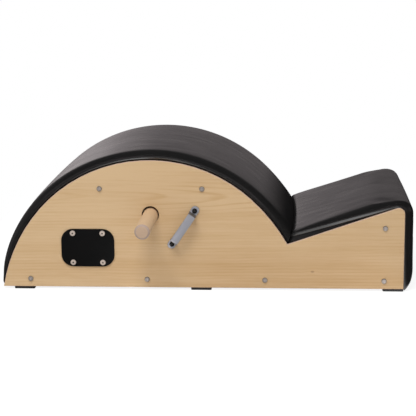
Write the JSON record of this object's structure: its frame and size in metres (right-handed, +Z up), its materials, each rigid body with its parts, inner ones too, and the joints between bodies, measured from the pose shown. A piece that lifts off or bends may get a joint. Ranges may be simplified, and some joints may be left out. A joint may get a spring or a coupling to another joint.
{
  "type": "pilates spine corrector",
  "caption": "Low wooden pilates spine corrector with a padded barrel arch falling into a padded step, a loose grip pole through both sides and bent strip handles.",
  "frame": {"origin": "centre of the bounding box at floor level, under the rubber feet", "axes": "+X from the barrel towards the step along the corrector's length, +Y across the width towards the side without the plate, +Z up"},
  "size_m": [0.9712, 0.8, 0.3325],
  "materials": {
    "panel_plywood": "satin lacquered pale plywood, fine grain along the length",
    "rail_wood": "planed pale wood, unlacquered",
    "pole_wood": "smooth lacquered pale wood",
    "deck_plywood": "raw thin plywood",
    "leather": "satin black upholstery leather, fine grain",
    "foam": "dense upholstery foam",
    "foot_rubber": "matte black",
    "plate_black": "matte black, bare",
    "zinc_screw": "zinc plated",
    "nickel_screw": "pale satin nickel",
    "black_screw": "black zinc",
    "satin_steel": "satin grey steel strip"
  },
  "bodies": {
    "frame": {"base_rail_1": "rail_wood", "base_rail_2": "rail_wood", "base_rail_3": "rail_wood", "base_rail_4": "rail_wood", "crest_rail_left": "rail_wood", "crest_rail_right": "rail_wood", "step_rail": "rail_wood", "barrel_deck": "deck_plywood", "barrel_foam": "foam", "barrel_cover": "leather", "step_deck": "deck_plywood", "end_deck": "deck_plywood", "step_foam": "foam", "step_cover": "leather", "side_panel_front": "panel_plywood", "panel_screw_front_1": "zinc_screw", "panel_screw_front_2": "zinc_screw", "panel_screw_front_3": "zinc_screw", "panel_screw_front_4": "zinc_screw", "panel_screw_front_5": "zinc_screw", "panel_screw_front_6": "zinc_screw", "panel_screw_front_7": "zinc_screw", "strip_handle_front": "satin_steel", "handle_screw_front_upper": "black_screw", "handle_screw_front_lower": "black_screw", "name_plate": "plate_black", "plate_screw_top_left": "nickel_screw", "plate_screw_top_right": "nickel_screw", "plate_screw_bottom_left": "nickel_screw", "plate_screw_bottom_right": "nickel_screw", "foot_front_1": "foot_rubber", "foot_front_2": "foot_rubber", "foot_front_3": "foot_rubber", "side_panel_back": "panel_plywood", "panel_screw_back_1": "zinc_screw", "panel_screw_back_2": "zinc_screw", "panel_screw_back_3": "zinc_screw", "panel_screw_back_4": "zinc_screw", "panel_screw_back_5": "zinc_screw", "panel_screw_back_6": "zinc_screw", "panel_screw_back_7": "zinc_screw", "strip_handle_back": "satin_steel", "handle_screw_back_upper": "black_screw", "handle_screw_back_lower": "black_screw", "foot_back_1": "foot_rubber", "foot_back_2": "foot_rubber", "foot_back_3": "foot_rubber"},
    "grip_pole": {"grip_pole": "pole_wood"}
  },
  "joints": [
    {"name": "pole_slide", "type": "slide", "parent": "frame", "child": "grip_pole", "axis": [0, 1, 0], "range_m": [-0.63, 0.63]}
  ]
}
